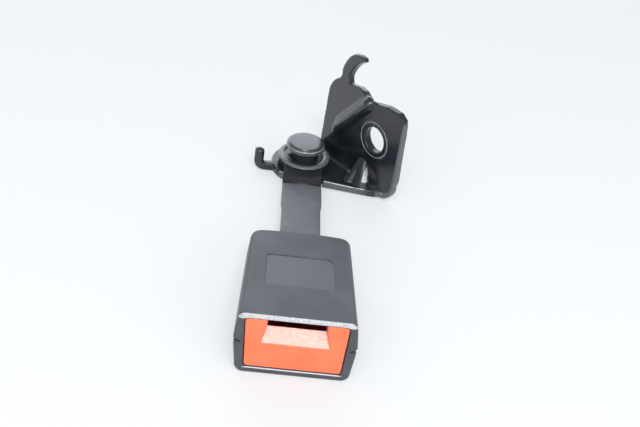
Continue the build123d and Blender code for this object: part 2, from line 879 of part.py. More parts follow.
# -------------------------------------------------------------- anchor bracket
bearing = math.radians(flange_bearing)
facing = Vector(math.cos(bearing), math.sin(bearing), 0)
along = Vector(-facing.Y, facing.X, 0)
fold_foot = facing * -flange_offset
flange = Plane(
    origin=fold_foot + along * hole_along + Vector(0, 0, hole_height),
    x_dir=along, z_dir=facing,
)
bead_start = flange.from_local_coords((*bead_low, 0))
bead_end = flange.from_local_coords((*bead_high, 0))
bead_run = (bead_end - bead_start).normalized()
spin = Axis((0, 0, 0), bead_run)
wing_x = along.rotate(spin, -wing_bend)
wing_z = facing.rotate(spin, -wing_bend)
wing_hole = flange.origin - bead_start
wing = Plane(origin=bead_start + wing_hole.rotate(spin, -wing_bend), x_dir=wing_x, z_dir=wing_z)
bead_lean = (bead_high[0] - bead_low[0]) / (bead_high[1] - bead_low[1])
base_w = base_top - hole_height
floor_w = tail_thick - hole_height
sink = 1.0                  # overlap that joins the fold and the dart to the sheet


def on_bead(w):
    """Point of the bend line at a height over the hole."""
    return (bead_low[0] + (w - bead_low[1]) * bead_lean, w)


def fold_point(u, out, z):
    """Point given along the fold, in front of the flange and over the floor."""
    return fold_foot + along * u + facing * out + Vector(0, 0, z)


def dart_outline(share):
    """Triangle in the corner of the fold, sunk a little into both sheets."""
    with BuildSketch() as outline:
        Polygon(
            (-sink, -sink), (share * dart_reach, -sink), (share * dart_reach, 0),
            (0, share * dart_climb), (-sink, share * dart_climb), align=None,
        )
    return outline.sketch


fold_top = base_top + fold_radius
front_left = (stay_half_wide + stay_gap, front_edge_y)
front_right = fold_point(hole_along + front_edge_u, 0, 0)
tip = fold_point(hole_along + front_edge_u - tip_cut, -bracket_gauge, 0)
back_left = fold_point(back_edge_u, -bracket_gauge, 0)

with BuildSketch(Plane.XY.offset(tail_thick)) as base_outline:
    Circle(eye_outer)
    with BuildLine():
        Polyline(
            (front_left[0], 0), front_left, (front_right.X, front_right.Y), (tip.X, tip.Y),
            (back_left.X, back_left.Y), (0, eye_outer), (0, 0), (front_left[0], 0),
        )
    make_face()

with BuildPart() as fold_filler:
    # inside of the fold, kept within the base's outline
    fold_start = back_edge_u - sink
    fold = Plane(origin=fold_point(fold_start, 0, base_top), x_dir=facing, z_dir=-along)
    inner_mid = fold_radius * (1 - math.sqrt(0.5))
    with BuildSketch(fold):
        with BuildLine():
            Polyline(
                (0, fold_radius), (-sink, fold_radius), (-sink, -sink), (fold_radius, -sink),
                (fold_radius, 0),
            )
            ThreePointArc((fold_radius, 0), (inner_mid, inner_mid), (0, fold_radius))
        make_face()
    extrude(amount=fold_start - hole_along - front_edge_u)
    extrude(base_outline.sketch, amount=fold_top, mode=Mode.INTERSECT)

with BuildPart() as anchor_bracket:
    # base with the pivot eye
    extrude(base_outline.sketch, amount=bracket_gauge)
    # flange round the anchor hole
    with BuildSketch(flange):
        with BuildLine():
            toe = (front_edge_u + toe_reach, base_w + toe_rise)
            Polyline(
                flange_corner[-1], *flange_side, on_bead(flange_side[-1][1]), wing_edge[0],
                (back_edge_u - hole_along, floor_w), (front_edge_u - tip_cut, floor_w),
                (front_edge_u, base_w), toe,
            )
            ThreePointArc(toe, *flange_corner)
        make_face()
    extrude(amount=-bracket_gauge)
    # wing and C-shaped hook, leaning back along the bead
    with BuildSketch(wing):
        with BuildLine():
            Line(*wing_edge)
            start = wing_edge[-1]
            for middle, end in zip(hook_back[::2], hook_back[1::2]):
                ThreePointArc(start, middle, end)
                start = end
            Line(hook_back[-1], hook_mouth[0])
            ThreePointArc(*hook_mouth)
            Polyline(hook_mouth[-1], *wing_top, on_bead(flange_side[-1][1]), wing_edge[0])
        make_face()
    extrude(amount=-bracket_gauge)
    # bead pressed out along the bend, hollow behind
    bead_top = flange.from_local_coords((*on_bead(bead_stop), 0))
    bead_section = Plane(origin=bead_start - facing * bead_sink, x_dir=wing.z_dir, z_dir=bead_run)
    with BuildSketch(bead_section):
        Circle(bead_radius)
    extrude(amount=(bead_top - bead_start).length)
    with Locations(bead_section.origin, bead_top - facing * bead_sink):
        Sphere(bead_radius)
    groove = Plane(
        origin=bead_start - facing * (bead_sink + bracket_gauge), x_dir=wing.z_dir, z_dir=bead_run
    )
    with BuildSketch(groove):
        Circle(bead_radius - 0.8)
    extrude(amount=(bead_end - bead_start).length + 5, mode=Mode.SUBTRACT)
    # fold between base and flange: round inside, round outside
    add(fold_filler.part)
    outer_mid = fold_radius - (fold_radius + bracket_gauge) * math.sqrt(0.5)
    low_edge = -bracket_gauge
    with BuildSketch(fold):
        with BuildLine():
            Polyline(
                (low_edge, fold_radius), (low_edge - 2, fold_radius), (low_edge - 2, low_edge - 2),
                (fold_radius, low_edge - 2), (fold_radius, low_edge),
            )
            ThreePointArc((fold_radius, low_edge), (outer_mid, outer_mid), (low_edge, fold_radius))
        make_face()
    extrude(amount=fold_start - hole_along - front_edge_u - 10, mode=Mode.SUBTRACT)
    # dart that stiffens the fold: a narrow crest with a flank on each side
    dart = fold.offset(fold_start - hole_along - dart_place)
    with BuildSketch(dart):
        add(dart_outline(1))
    extrude(amount=dart_crest, both=True)
    for side in (-1, 1):
        with BuildSketch(dart.offset(side * dart_crest)):
            add(dart_outline(1))
        with BuildSketch(dart.offset(side * dart_half)):
            add(dart_outline(dart_foot))
        loft(ruled=True)
    # coined boss and the anchor hole
    with BuildSketch(flange):
        Circle(boss_radius)
    extrude(amount=boss_rise, taper=30)
    with BuildSketch(flange):
        Circle(hole_radius)
    extrude(amount=boss_rise, mode=Mode.SUBTRACT)
    with BuildSketch(flange):
        Circle(hole_radius)
    extrude(amount=-bracket_gauge, mode=Mode.SUBTRACT)
    # finger that stops the swing of the stay
    with BuildSketch(Plane.XZ.offset(-finger_high_y)) as finger:
        with BuildLine():
            Polyline(
                (-eye_outer + 2, tail_thick), (-finger_reach, tail_thick),
                (-finger_reach, finger_height), (bracket_gauge - finger_reach, finger_height),
                (bracket_gauge - finger_reach, base_top), (-eye_outer + 2, base_top), close=True,
            )
        make_face()
        corners = finger.vertices().group_by(Axis.X)
        fillet(corners[1].group_by(Axis.Y)[0], finger_round)
        outer_corner = finger.vertices().group_by(Axis.X)[0].group_by(Axis.Y)[0]
        fillet(outer_corner, finger_round + bracket_gauge)
    extrude(amount=finger_high_y - finger_low_y)
    # bore for the pivot rivet
    with BuildSketch(Plane.XY.offset(tail_thick)):
        Circle(shank_radius)
    extrude(amount=bracket_gauge, mode=Mode.SUBTRACT)
finish(anchor_bracket.part, "anchor_bracket")
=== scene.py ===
import json
import math

import bmesh
import bpy
import numpy as np
from mathutils import Matrix, Vector


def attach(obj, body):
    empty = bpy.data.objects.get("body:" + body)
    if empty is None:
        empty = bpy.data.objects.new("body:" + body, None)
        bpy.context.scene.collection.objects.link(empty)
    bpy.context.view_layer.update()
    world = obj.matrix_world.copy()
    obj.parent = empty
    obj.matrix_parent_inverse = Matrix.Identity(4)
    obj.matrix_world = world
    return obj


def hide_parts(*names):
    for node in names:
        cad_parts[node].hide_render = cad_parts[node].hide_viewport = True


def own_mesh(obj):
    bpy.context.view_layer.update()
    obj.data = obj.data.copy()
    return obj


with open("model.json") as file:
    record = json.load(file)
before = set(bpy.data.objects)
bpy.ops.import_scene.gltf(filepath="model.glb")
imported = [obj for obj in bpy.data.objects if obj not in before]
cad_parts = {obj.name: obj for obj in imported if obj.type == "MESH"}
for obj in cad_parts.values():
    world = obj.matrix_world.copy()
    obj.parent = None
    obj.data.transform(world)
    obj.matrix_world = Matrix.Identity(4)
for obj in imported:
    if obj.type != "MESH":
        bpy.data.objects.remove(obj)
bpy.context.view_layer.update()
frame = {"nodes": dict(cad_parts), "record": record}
scene = bpy.context.scene
print("frame loaded:", len(frame["nodes"]), "nodes")

# the line of pull: the buckle climbs towards its mouth, which faces -Y; in metres
pull = {
    "climb": math.radians(6.8),
    "plateHeight": 0.0046,      # frame plate's top over the floor, at the pivot
    "mouthReach": 0.1445,       # pivot axis to the mouth
}
backward = np.array([0.0, math.cos(pull["climb"]), -math.sin(pull["climb"])])
upward = np.array([0.0, math.sin(pull["climb"]), math.cos(pull["climb"])])
plateOrigin = np.array([0.0, 0.0, pull["plateHeight"]])


def onBuckle(x, s, h):
    # a point in metres, from millimetres across, behind the mouth and over the frame plate
    run = s / 1000.0 - pull["mouthReach"]
    return np.array([x / 1000.0, 0.0, 0.0]) + plateOrigin + backward * run + upward * h / 1000.0


# the bracket's flange and its wing, in millimetres and radians
bracketPlan = {
    "bearing": math.radians(-139.1),        # the way the flange faces
    "offset": 15.83,                        # pivot axis to its front face
    "along": 30.1, "height": 29.25,         # hole's centre, along the flange and over the floor
    "gauge": 3.6,
    "bendLow": (-25.7, -7.5),               # ends of the wing's bend, along and up from the hole
    "bendHigh": (-4.5, 19.5),
    "lean": math.radians(12.0),             # how far the wing is turned back about the bend
}


def flangeFrame():
    # in millimetres: the hole's centre on the flange's front face, and the ways along, up and out
    facing = np.array([math.cos(bracketPlan["bearing"]), math.sin(bracketPlan["bearing"]), 0.0])
    along = np.array([-facing[1], facing[0], 0.0])
    up = np.array([0.0, 0.0, 1.0])
    centre = along * bracketPlan["along"] - facing * bracketPlan["offset"] + up * bracketPlan["height"]
    return {"centre": centre, "along": along, "up": up, "facing": facing}


def placeOn(plane, u, w, out=0.0):
    # centre + u along + w up + out of the face
    return plane["centre"] + plane["along"] * u + plane["up"] * w + plane["facing"] * out


def wingFrame():
    # the flange's frame turned back about the bend's direction k, by Rodrigues' formula:
    # v cos t + (k x v) sin t + k (k . v) (1 - cos t)
    plane = flangeFrame()
    low, high = (placeOn(plane, *bracketPlan[end]) for end in ("bendLow", "bendHigh"))
    run = (high - low) / np.linalg.norm(high - low)
    angle = -bracketPlan["lean"]

    def turn(v):
        sideways = np.cross(run, v) * math.sin(angle)
        return v * math.cos(angle) + sideways + run * np.dot(run, v) * (1 - math.cos(angle))

    turned = {way: turn(plane[way]) for way in ("along", "up", "facing")}
    return {"centre": low + turn(plane["centre"] - low), **turned}


# the view: places in metres, azimuth from +Y towards +X, focal length and width in pixels,
# sensor in millimetres
shot = {
    "place": (-0.01995, -0.44154, 0.29391),
    "azimuth": math.radians(4.16), "down": math.radians(35.88), "roll": math.radians(8.73),
    "focal": 1061.33, "width": 640.0, "sensor": 36.0, "nearest": 0.01,
}


def aimCamera(settings):
    a, e, r = settings["azimuth"], settings["down"], settings["roll"]
    ahead = Vector((math.sin(a) * math.cos(e), math.cos(a) * math.cos(e), -math.sin(e)))
    level = Vector((math.cos(a), -math.sin(a), 0.0))
    over = level.cross(ahead)
    right = math.cos(r) * level + math.sin(r) * over
    top = -math.sin(r) * level + math.cos(r) * over
    turned = Matrix((right, top, -ahead)).transposed().to_4x4()
    data = bpy.data.cameras.new("camera")
    data.sensor_width = settings["sensor"]
    data.lens = settings["focal"] / settings["width"] * data.sensor_width
    data.clip_start = settings["nearest"]
    camera = bpy.data.objects.new("camera", data)
    scene.collection.objects.link(camera)
    camera.matrix_world = Matrix.Translation(settings["place"]) @ turned
    scene.camera = camera


aimCamera(shot)
scene.view_settings.view_transform = "Standard"
print("camera placed")


class Wire:
    # one output socket, so that shader maths reads as an expression
    def __init__(self, finish, socket):
        self.finish = finish
        self.socket = socket

    def maths(self, operation, *values):
        return self.finish.put("ShaderNodeMath", {"operation": operation}, values)

    def __add__(self, other):
        return self.maths("ADD", self, other)

    def __radd__(self, other):
        return self.maths("ADD", other, self)

    def __sub__(self, other):
        return self.maths("SUBTRACT", self, other)

    def __rsub__(self, other):
        return self.maths("SUBTRACT", other, self)

    def __mul__(self, other):
        return self.maths("MULTIPLY", self, other)

    def __rmul__(self, other):
        return self.maths("MULTIPLY", other, self)

    def __pow__(self, other):
        return self.maths("POWER", self, other)

    def __abs__(self):
        return self.maths("ABSOLUTE", self)

    def over(self, low, high):
        # 0 below low, 1 above high, smooth between
        values = {"Value": self, "From Min": low, "From Max": high}
        return self.finish.put("ShaderNodeMapRange", {"interpolation_type": "SMOOTHSTEP"}, values)

    def under(self, low, high):
        # 1 below low, 0 above high, smooth between
        return 1 - self.over(low, high)

    def within(self, middle, half, soft):
        # 1 within half of middle, 0 beyond half + soft
        return abs(self - middle).under(half, half + soft)

    def most(self, other):
        return self.maths("MAXIMUM", self, other)


class Finish:
    # one material and its nodes
    def __init__(self, name):
        self.material = bpy.data.materials.new(name)
        self.material.use_nodes = True
        self.tree = self.material.node_tree
        self.tree.nodes.clear()
        self.place = self.put("ShaderNodeTexCoord", out="Object")

    def put(self, kind, settings=None, values=None, out=0):
        # a node of that kind, its settings, then the values or links of its sockets
        node = self.tree.nodes.new(kind)
        for name, value in (settings or {}).items():
            setattr(node, name, value)
        pairs = values.items() if isinstance(values, dict) else enumerate(values or ())
        for name, value in pairs:
            if isinstance(value, Wire):
                self.tree.links.new(value.socket, node.inputs[name])
            else:
                node.inputs[name].default_value = value
        return Wire(self, node.outputs[out]) if len(node.outputs) else node

    def along(self, direction, origin=(0.0, 0.0, 0.0)):
        # distance in millimetres along a direction, from an origin in metres
        shift = float(np.dot(direction, origin))
        values = [self.place, tuple(float(d) for d in direction)]
        dot = self.put("ShaderNodeVectorMath", {"operation": "DOT_PRODUCT"}, values, out="Value")
        return (dot - shift) * 1000.0

    def buckleAxes(self):
        # millimetres behind the mouth, over the frame plate, and to the side
        behind = self.along(backward, plateOrigin) + pull["mouthReach"] * 1000.0
        return behind, self.along(upward, plateOrigin), self.along((1.0, 0.0, 0.0))

    def flangeAxes(self):
        # millimetres along the flange, up it and out of it, from the hole's centre
        plane = flangeFrame()
        return [self.along(plane[way], plane["centre"] / 1000.0) for way in ("along", "up", "facing")]

    def rightOf(self, start, end):
        # millimetres to the right of the line from start to end, seen from above
        (x0, y0), (x1, y1) = start, end
        length = math.hypot(x1 - x0, y1 - y0)
        direction = ((y1 - y0) / length, (x0 - x1) / length, 0.0)
        return self.along(direction, (x0 / 1000.0, y0 / 1000.0, 0.0))

    def spot(self, size, stretch=(1.0, 1.0, 1.0)):
        # place counted in patches of that many millimetres
        scale = tuple(share * 1000.0 / size for share in stretch)
        return self.put("ShaderNodeMapping", {}, {"Vector": self.place, "Scale": scale})

    def noise(self, size, detail=2.0, rough=0.5, stretch=(1.0, 1.0, 1.0)):
        values = {"Vector": self.spot(size, stretch), "Scale": 1.0, "Detail": detail, "Roughness": rough}
        return self.put("ShaderNodeTexNoise", {}, values, out="Fac")

    def cells(self, size):
        values = {"Vector": self.spot(size), "Scale": 1.0}
        return self.put("ShaderNodeTexVoronoi", {}, values, out="Distance")

    def opaque(self, colour):
        return colour if isinstance(colour, Wire) else (*colour, 1.0)

    def mix(self, amount, first, second):
        # sockets 0, 6 and 7 are the factor and the two colours, output 2 the mixed colour
        values = {0: amount, 6: self.opaque(first), 7: self.opaque(second)}
        return self.put("ShaderNodeMix", {"data_type": "RGBA"}, values, out=2)

    def bump(self, height, depth):
        # depth in millimetres
        return self.put("ShaderNodeBump", {}, {"Height": height, "Distance": depth / 1000.0})

    def close(self, values):
        surface = self.put("ShaderNodeBsdfPrincipled", {}, values)
        self.put("ShaderNodeOutputMaterial", {}, {"Surface": surface})
        return self.material


# in a look, a mask has two numbers where it fades from and to, or three for its middle, half width
# and fade; a noise has its size in millimetres, its detail and its roughness

# covers: textured plastic, with a near-white painted highlight along the lip over the mouth and the sill
# under it
coverLook = {
    "colour": (0.05, 0.057, 0.068), "pale": (0.07, 0.078, 0.091), "scuffAndHighlight": (0.8, 0.81, 0.85),
    "grain": 0.3, "grainDepth": 0.014, "rough": 0.46,
    "patch": (16.0, 3.0, 0.5), "patchFade": (0.35, 0.7),
    "streak": (0.5, 4.0, 0.7), "streakFade": (0.4, 0.6),
    # where the painted highlights lie: the lip over the mouth, and the sill of the lower cover's mouth
    "lip": {"behind": (0.85, 1.0), "height": (3.5, 3.7)},
    "sill": {"behind": (0.35, 0.6), "height": (-19.15, 0.1, 0.12), "side": (0.0, 18.5, 1.5), "sheenShare": 0.9},
    "label": {
        "side": (0.0, 14.0, 0.2), "behind": (34.9, 11.9, 0.2), "sunk": (0.35, 0.1, 0.08),
        "top": 5.6, "fall": 0.0235,         # height of the cover's top, and how fast it drops backward
    },
}


def coverPlastic(look):
    finish = Finish("coverPlastic")
    behind, height, side = finish.buckleAxes()
    grain = finish.cells(look["grain"]) * 0.6 + finish.noise(look["grain"] * 2.0, 3.0, 0.6) * 0.6
    patch = finish.noise(*look["patch"])
    streak = finish.noise(*look["streak"])
    lip, sill, label = look["lip"], look["sill"], look["label"]
    # painted highlight: a near-white band along the lip, broken by streaks, and a thin one along the sill
    lipHighlight = behind.under(*lip["behind"]) * height.over(*lip["height"])
    lipHighlight = lipHighlight * (0.55 + streak.over(*look["streakFade"]) * 0.45)
    sillHighlight = behind.under(*sill["behind"]) * height.within(*sill["height"]) * side.within(*sill["side"])
    wearAndSheen = lipHighlight.most(sillHighlight * sill["sheenShare"])
    sunk = label["top"] - behind * label["fall"] - height
    recess = side.within(*label["side"]) * behind.within(*label["behind"]) * sunk.within(*label["sunk"])
    colour = finish.mix(patch.over(*look["patchFade"]), look["colour"], look["pale"])
    colour = finish.mix(recess * 0.8, colour, look["pale"])
    colour = finish.mix(wearAndSheen * 0.8, colour, look["scuffAndHighlight"])
    rough = look["rough"] + (grain - 0.5) * 0.1 - wearAndSheen * 0.12 - recess * 0.08
    return finish.close({
        "Base Color": colour, "Roughness": rough,
        "Normal": finish.bump(grain * (1 - recess * 0.7) + wearAndSheen * 0.4, look["grainDepth"]),
    })


# button: orange plastic, pale on the ramp from its foot to its crest, partly scratch wear and partly a
# painted highlight
buttonLook = {
    "colour": (0.93, 0.2, 0.088), "deep": (0.9, 0.17, 0.07), "scuffAndHighlight": (0.98, 0.76, 0.7), "rough": 0.32,
    "foot": (0.4, -7.7), "crest": (5.0, -1.5),      # behind the mouth and over the frame plate
    "off": (0.0, 0.2, 0.1), "side": (0.0, 13.5, 0.4), "behind": (0.5, 1.0),
    "scratch": (0.8, 4.0, 0.7), "scratchStretch": (0.5, 1.0, 1.0), "scratchFade": (0.45, 0.62),
    "grain": (0.45, 2.0, 0.5), "patch": (9.0, 2.0, 0.5), "patchFade": (0.35, 0.7), "depth": 0.015,
}


def buttonPlastic(look):
    finish = Finish("buttonPlastic")
    behind, height, side = finish.buckleAxes()
    (s0, h0), (s1, h1) = look["foot"], look["crest"]
    length = math.hypot(s1 - s0, h1 - h0)
    off = (height - h0) * ((s1 - s0) / length) - (behind - s0) * ((h1 - h0) / length)
    ramp = off.within(*look["off"]) * side.within(*look["side"]) * behind.over(*look["behind"])
    scratch = finish.noise(*look["scratch"], stretch=look["scratchStretch"]).over(*look["scratchFade"])
    grain = finish.noise(*look["grain"])
    patch = finish.noise(*look["patch"])
    colour = finish.mix(patch.over(*look["patchFade"]), look["colour"], look["deep"])
    # the ramp's pale: partly scratch wear, partly a painted highlight
    colour = finish.mix(ramp * (scratch * 0.25 + 0.5), colour, look["scuffAndHighlight"])
    rough = look["rough"] + ramp * scratch * 0.12 + (grain - 0.5) * 0.06
    return finish.close({
        "Base Color": colour, "Roughness": rough,
        "Subsurface Weight": 0.06, "Subsurface Scale": 0.002,
        "Normal": finish.bump(grain * 0.4 + ramp * scratch * 0.7, look["depth"]),
    })


# bracket: black paint with dust in it, a painted edge highlight on its rims, and a painted highlight on
# its front crest and dart
paintLook = {
    "colour": (0.011, 0.0125, 0.0185), "thin": (0.02, 0.0225, 0.031), "dust": (0.34, 0.36, 0.39),
    "rubbed": (0.12, 0.13, 0.145), "highlight": (0.62, 0.64, 0.67),
    "rough": 0.2, "peel": (1.4, 2.0, 0.5), "peelDepth": 0.01,
    "patch": (12.0, 3.0, 0.6), "patchFade": (0.4, 0.75), "pit": (0.5, 2.0, 0.6),
    "speck": {"cell": 2.3, "dot": (0.03, 0.08), "cloud": (6.0, 1.0), "cloudFade": (0.55, 0.66)},
    "coat": {"most": 0.5, "loss": 0.85, "fade": (0.5, 2.5)},    # lost from the bend towards the hole
    # where the painted edge highlight lies; below, the base's front edge and the painted highlight on its
    # crest
    "rim": {                    # on the flange, along and up from the hole
        "side": (15.4, 15.9), "cornerAlong": 8.4, "cornerUp": -17.4, "reach": (7.1, 7.6), "soft": 0.5,
    },
    "front": {                  # on the base, its front edge seen from above, and heights over the floor
        "start": (9.95, -15.11), "end": (36.92, -20.14), "out": (-0.55, -0.2), "top": (4.45, 4.75),
        "crestOut": (-0.2, 0.2, 0.15), "crestHeight": (4.15, 0.2, 0.15), "crestPit": (0.3, 0.5),
    },
    # the painted highlight on the dart's flank
    "flankHighlight": {                 # on the dart, along and up from the hole, and out of the flange
        "along": -0.5, "up": -15.0, "slant": 0.42, "width": (0.0, 1.5, 0.5),
        "height": (-19.2, 2.9, 0.7), "out": (0.15, 0.5), "pit": (0.35, 0.5),
    },
}


def rubbedRims(finish, along, up, rim, front):
    # painted edge highlight on the flange's side, its round lower corner and the base's front edge; then
    # a painted highlight line on that edge's crest
    u, w = along - rim["cornerAlong"], up - rim["cornerUp"]
    above = up.over(rim["cornerUp"] - rim["soft"], rim["cornerUp"] + rim["soft"])
    side = along.over(*rim["side"]) * above
    corner = ((u * u + w * w) ** 0.5).over(*rim["reach"]) * (1 - above)
    corner = corner * along.over(rim["cornerAlong"] - 2 * rim["soft"], rim["cornerAlong"])
    ahead = finish.rightOf(front["start"], front["end"])
    tall = finish.along((0.0, 0.0, 1.0))
    edge = ahead.over(*front["out"]) * tall.under(*front["top"])
    crest = ahead.within(*front["crestOut"]) * tall.within(*front["crestHeight"])
    return side.most(corner).most(edge), crest


def paintedFlankHighlight(along, up, out, flankHighlight):
    # a painted highlight: a slanting strip on the dart, where it stands out of the flange
    across = along - flankHighlight["along"] + (up - flankHighlight["up"]) * flankHighlight["slant"]
    return across.within(*flankHighlight["width"]) * up.within(*flankHighlight["height"]) * out.over(*flankHighlight["out"])


def fromBend(along, up):
    # millimetres from the wing's bend towards the hole
    (lowU, lowW), (highU, highW) = bracketPlan["bendLow"], bracketPlan["bendHigh"]
    length = math.hypot(highU - lowU, highW - lowW)
    return (along - lowU) * ((highW - lowW) / length) - (up - lowW) * ((highU - lowU) / length)


def blackPaint(look):
    finish = Finish("blackPaint")
    along, up, out = finish.flangeAxes()
    peel, patch, pit = (finish.noise(*look[name]) for name in ("peel", "patch", "pit"))
    speck, coat = look["speck"], look["coat"]
    dust = finish.cells(speck["cell"]).under(*speck["dot"])
    dust = dust * finish.noise(*speck["cloud"]).over(*speck["cloudFade"])
    rubbed, crest = rubbedRims(finish, along, up, look["rim"], look["front"])
    flankGlint = paintedFlankHighlight(along, up, out, look["flankHighlight"])
    colour = finish.mix(patch.over(*look["patchFade"]), look["colour"], look["thin"])
    colour = finish.mix(dust * 0.6, colour, look["dust"])
    # painted edge highlight on the rims, then a painted highlight line on the front crest
    colour = finish.mix(rubbed * (0.55 + patch * 0.4), colour, look["rubbed"])
    colour = finish.mix(crest * pit.over(*look["front"]["crestPit"]), colour, look["highlight"])
    # painted highlight on the dart's flank
    colour = finish.mix(flankGlint * pit.over(*look["flankHighlight"]["pit"]), colour, look["highlight"])
    rough = look["rough"] + (patch - 0.5) * 0.14 + dust * 0.3 + (pit - 0.5) * 0.05 + rubbed * 0.1
    return finish.close({
        "Base Color": colour, "Roughness": rough,
        "Coat Weight": coat["most"] * (1 - fromBend(along, up).over(*coat["fade"]) * coat["loss"]),
        "Normal": finish.bump(peel + pit * 0.15 + dust * 0.4, look["peelDepth"]),
    })


# the other finishes: grain size and depth in millimetres
plainLooks = {
    "stayPaint": {
        "colour": (0.118, 0.13, 0.145), "wearAndSheen": (0.145, 0.16, 0.177), "rough": 0.5, "coat": 0.05,
        "grain": 0.8, "stretch": (1.0, 0.2, 1.0), "depth": 0.007,
        "pivotShade": {                         # painted shade: fade is in y, dark from there to the pivot, edge ragged
            "fade": (-20.8, -19.4), "dark": (0.009, 0.0105, 0.013), "ragged": (2.5, 3.0, 0.6),
            "swing": 1.2, "rough": 0.3,
        },
    },
    "redLacquer": {
        "colour": (0.7, 0.05, 0.045), "wearAndSheen": (0.8, 0.08, 0.07), "rough": 0.5, "coat": 0.2,
        "grain": 0.6, "depth": 0.006,
    },
    # the coined ring: grey where the plate is black paint, a painted highlight
    "rubbedRim": {
        "colour": (0.16, 0.17, 0.185), "wearAndSheen": (0.3, 0.315, 0.33), "rough": 0.3, "coat": 0.5,
        "grain": 0.5, "depth": 0.006,
    },
    "rivetSteel": {
        "colour": (0.033, 0.037, 0.043), "wearAndSheen": (0.07, 0.075, 0.083), "rough": 0.32, "coat": 0.8,
        "grain": 0.7, "depth": 0.003,
        # painted highlight lines on the head's rim edges
        "rings": {"heights": ((13.75, 0.1, 0.1), (15.2, 0.1, 0.1)), "bare": (0.4, 0.42, 0.45)},
    },
    "washerSteel": {
        "colour": (0.034, 0.039, 0.047), "wearAndSheen": (0.1, 0.109, 0.122), "rough": 0.3, "coat": 0.5,
        "grain": 0.6, "depth": 0.004,
        # painted highlight on the ring band, painted shade inside it
        "band": {
            "radius": (11.6, 0.8, 0.4), "rub": (0.13, 0.142, 0.16),
            "inside": (10.4, 10.8), "hollow": (0.02, 0.023, 0.029),
        },
    },
    "frameSteel": {
        "colour": (0.4, 0.4, 0.41), "wearAndSheen": (0.55, 0.55, 0.55), "rough": 0.35, "metal": 1.0,
        "grain": 0.6, "stretch": (1.0, 0.1, 1.0), "depth": 0.006,
    },
    "latchSteel": {
        "colour": (0.24, 0.24, 0.26), "wearAndSheen": (0.42, 0.42, 0.43), "rough": 0.32, "metal": 1.0,
        "grain": 0.5, "stretch": (0.1, 1.0, 1.0), "depth": 0.006,
    },
    "springSteel": {
        "colour": (0.5, 0.5, 0.5), "wearAndSheen": (0.62, 0.62, 0.62), "rough": 0.25, "metal": 1.0,
        "grain": 0.4, "depth": 0.003,
    },
    "blackNylon": {
        "colour": (0.02, 0.02, 0.021), "wearAndSheen": (0.045, 0.045, 0.046), "rough": 0.5,
        "grain": 0.5, "depth": 0.015,
    },
    "whiteNylon": {
        "colour": (0.62, 0.6, 0.55), "wearAndSheen": (0.72, 0.71, 0.67), "rough": 0.45,
        "grain": 0.5, "depth": 0.012,
    },
}
plainUsual = {
    "metal": 0.0, "coat": 0.0, "stretch": (1.0, 1.0, 1.0),
    "patch": (7.0, 3.0, 0.55), "patchFade": (0.42, 0.72),
}


def bareRings(finish, rings, colour):
    # painted highlight rings at some heights over the floor
    tall = finish.along((0.0, 0.0, 1.0))
    for height in rings["heights"]:
        colour = finish.mix(tall.within(*height) * 0.9, colour, rings["bare"])
    return colour


def rubbedBand(finish, band, colour):
    # painted shade near the pivot axis, and a painted highlight in a ring round it
    x, y = finish.along((1.0, 0.0, 0.0)), finish.along((0.0, 1.0, 0.0))
    radius = (x * x + y * y) ** 0.5
    colour = finish.mix(radius.under(*band["inside"]), colour, band["hollow"])
    return finish.mix(radius.within(*band["radius"]), colour, band["rub"])


def paintedPivotShade(finish, pivotShade):
    # how much painted shade, 0 to 1
    ragged = (finish.noise(*pivotShade["ragged"]) - 0.5) * pivotShade["swing"]
    return (finish.along((0.0, 1.0, 0.0)) + ragged).over(*pivotShade["fade"])


def plainFinish(name):
    look = {**plainUsual, **plainLooks[name]}
    finish = Finish(name)
    grain = finish.noise(look["grain"], 3.0, 0.6, stretch=look["stretch"])
    wearAndSheen = finish.noise(*look["patch"]).over(*look["patchFade"]) * (0.6 + grain * 0.4)
    colour = finish.mix(wearAndSheen, look["colour"], look["wearAndSheen"])
    rough = look["rough"] + (grain - 0.5) * 0.15
    if "rings" in look:
        colour = bareRings(finish, look["rings"], colour)
    if "band" in look:
        colour = rubbedBand(finish, look["band"], colour)
    # painted shade on the stay's end by the pivot
    if "pivotShade" in look:
        shaded = paintedPivotShade(finish, look["pivotShade"])
        colour = finish.mix(shaded, colour, look["pivotShade"]["dark"])
        rough = rough + shaded * look["pivotShade"]["rough"]
    return finish.close({
        "Base Color": colour, "Roughness": rough,
        "Metallic": look["metal"], "Coat Weight": look["coat"],
        "Normal": finish.bump(grain, look["depth"]),
    })


finishes = {name: plainFinish(name) for name in plainLooks}
finishes["coverPlastic"] = coverPlastic(coverLook)
finishes["buttonPlastic"] = buttonPlastic(buttonLook)
finishes["blackPaint"] = blackPaint(paintLook)
print("finishes made:", len(finishes))

dressed = {
    "anchor_bracket": "blackPaint", "pivot_rivet": "rivetSteel", "stay_arm": "stayPaint",
    "pivot_bush": "blackNylon", "spring_washer": "washerSteel", "buckle_frame": "frameSteel",
    "frame_rivets": "frameSteel", "upper_cover": "coverPlastic", "lower_cover": "coverPlastic",
    "latch_pin": "latchSteel", "spring_carrier": "blackNylon", "release_button": "buttonPlastic",
    "release_slide": "redLacquer", "button_spring_left": "springSteel",
    "button_spring_right": "springSteel", "latch_pawl": "latchSteel", "cross_pin": "latchSteel",
    "latch_spring": "springSteel", "ejector": "whiteNylon", "ejector_spring": "springSteel",
}
bodyOf = {node: body for body, nodes in frame["record"]["behaviour"]["bodies"].items() for node in nodes}
for node, name in dressed.items():
    mesh = frame["nodes"][node].data
    mesh.materials.clear()
    mesh.materials.append(finishes[name])
print("solids dressed:", len(dressed))


def addPiece(name, mesh):
    mesh.shade_smooth()
    piece = bpy.data.objects.new(name, mesh)
    scene.collection.objects.link(piece)
    return piece


